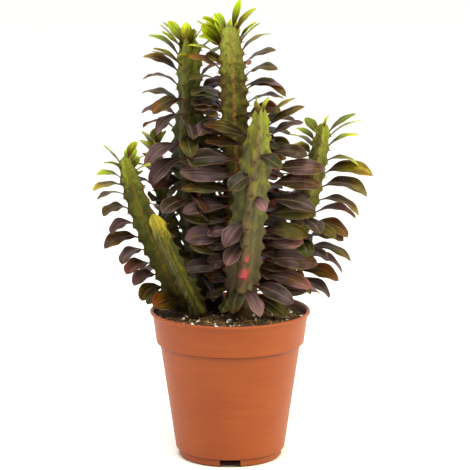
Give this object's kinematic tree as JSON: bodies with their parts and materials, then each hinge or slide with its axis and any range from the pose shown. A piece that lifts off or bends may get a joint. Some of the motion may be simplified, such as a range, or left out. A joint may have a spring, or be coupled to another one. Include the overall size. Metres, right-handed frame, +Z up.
{
  "type": "potted euphorbia",
  "caption": "Bushy potted milk tree: upright three-ribbed stems with purple and green leaves and thorns, in soil in a round plastic nursery pot with a deep collar.",
  "frame": {"origin": "centre of the underside of the pot's floor, which rests on the table", "axes": "+Z up along the pot's axis, -Y towards the front that the picture shows, +X to the right of it"},
  "size_m": [0.2947, 0.1792, 0.4809],
  "materials": {
    "pot": "satin",
    "soil": "matte",
    "plant": "satin",
    "young_plant": "satin"
  },
  "bodies": {
    "root": {"pot": "pot", "soil": "soil", "stem_front": "plant", "stem_back_left": "plant", "stem_tall": "plant", "stem_right": "plant", "stem_left": "plant", "stem_small": "plant", "stem_pup": "young_plant"}
  },
  "joints": []
}
